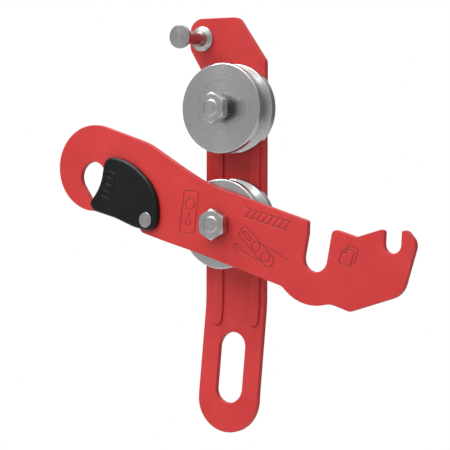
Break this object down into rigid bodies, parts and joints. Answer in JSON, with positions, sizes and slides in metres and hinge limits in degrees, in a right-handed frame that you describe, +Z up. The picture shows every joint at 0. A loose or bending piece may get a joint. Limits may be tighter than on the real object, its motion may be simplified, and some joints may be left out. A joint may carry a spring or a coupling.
{
  "type": "two-bobbin rope descender",
  "caption": "Opened rope friction device: fixed and swinging red side plates, grooved bobbins on bolts, latch stud and a spring gate on the hook end.",
  "frame": {"origin": "centre of the carabiner slot, half way through the fixed side plate", "axes": "+Z up along the fixed side plate towards the latch stud, -Y out of the front towards the nuts, +X to the right seen from the front"},
  "size_m": [0.1974, 0.0351, 0.1976],
  "materials": {
    "red_plate": "red anodised, satin",
    "turned_bobbin": "turned, fine concentric lathe marks",
    "steel_fastener": "bright zinc plated",
    "stud_steel": "turned stainless steel",
    "gate_plastic": "black moulded nylon, semi-gloss edges",
    "spring_wire": "spring wire"
  },
  "bodies": {
    "frame": {"fixed_side_plate": "red_plate", "upper_bobbin": "turned_bobbin", "lower_bobbin": "turned_bobbin", "upper_axle_bolt": "steel_fastener", "lower_axle_bolt": "steel_fastener", "upper_axle_nut": "steel_fastener", "lower_axle_nut": "steel_fastener", "upper_rear_washer": "steel_fastener", "lower_rear_washer": "steel_fastener", "upper_neck_bush": "steel_fastener", "lower_pivot_bush": "steel_fastener", "lower_thrust_washer": "steel_fastener", "lower_lock_washer": "steel_fastener", "latch_stud": "stud_steel", "latch_stud_collar": "stud_steel", "latch_stud_rear_washer": "stud_steel"},
    "side_plate": {"swinging_side_plate": "red_plate", "gate_rivet": "stud_steel", "gate_rivet_washer": "stud_steel"},
    "gate": {"safety_gate": "gate_plastic", "gate_spring": "spring_wire"}
  },
  "joints": [
    {"name": "side_plate_swing", "type": "hinge", "parent": "frame", "child": "side_plate", "pos_m": [0.0008, 0, 0.0687], "axis": [0, -1, 0], "range_deg": [-20, 105.8]},
    {"name": "gate_swing", "type": "hinge", "parent": "side_plate", "child": "gate", "pos_m": [-0.038, -0.01421, 0.07], "axis": [0.1109, 0.9933, -0.0314], "range_deg": [0, 28], "stiffness_Nm_per_rad": 0.02, "springref_deg": -45.84}
  ]
}
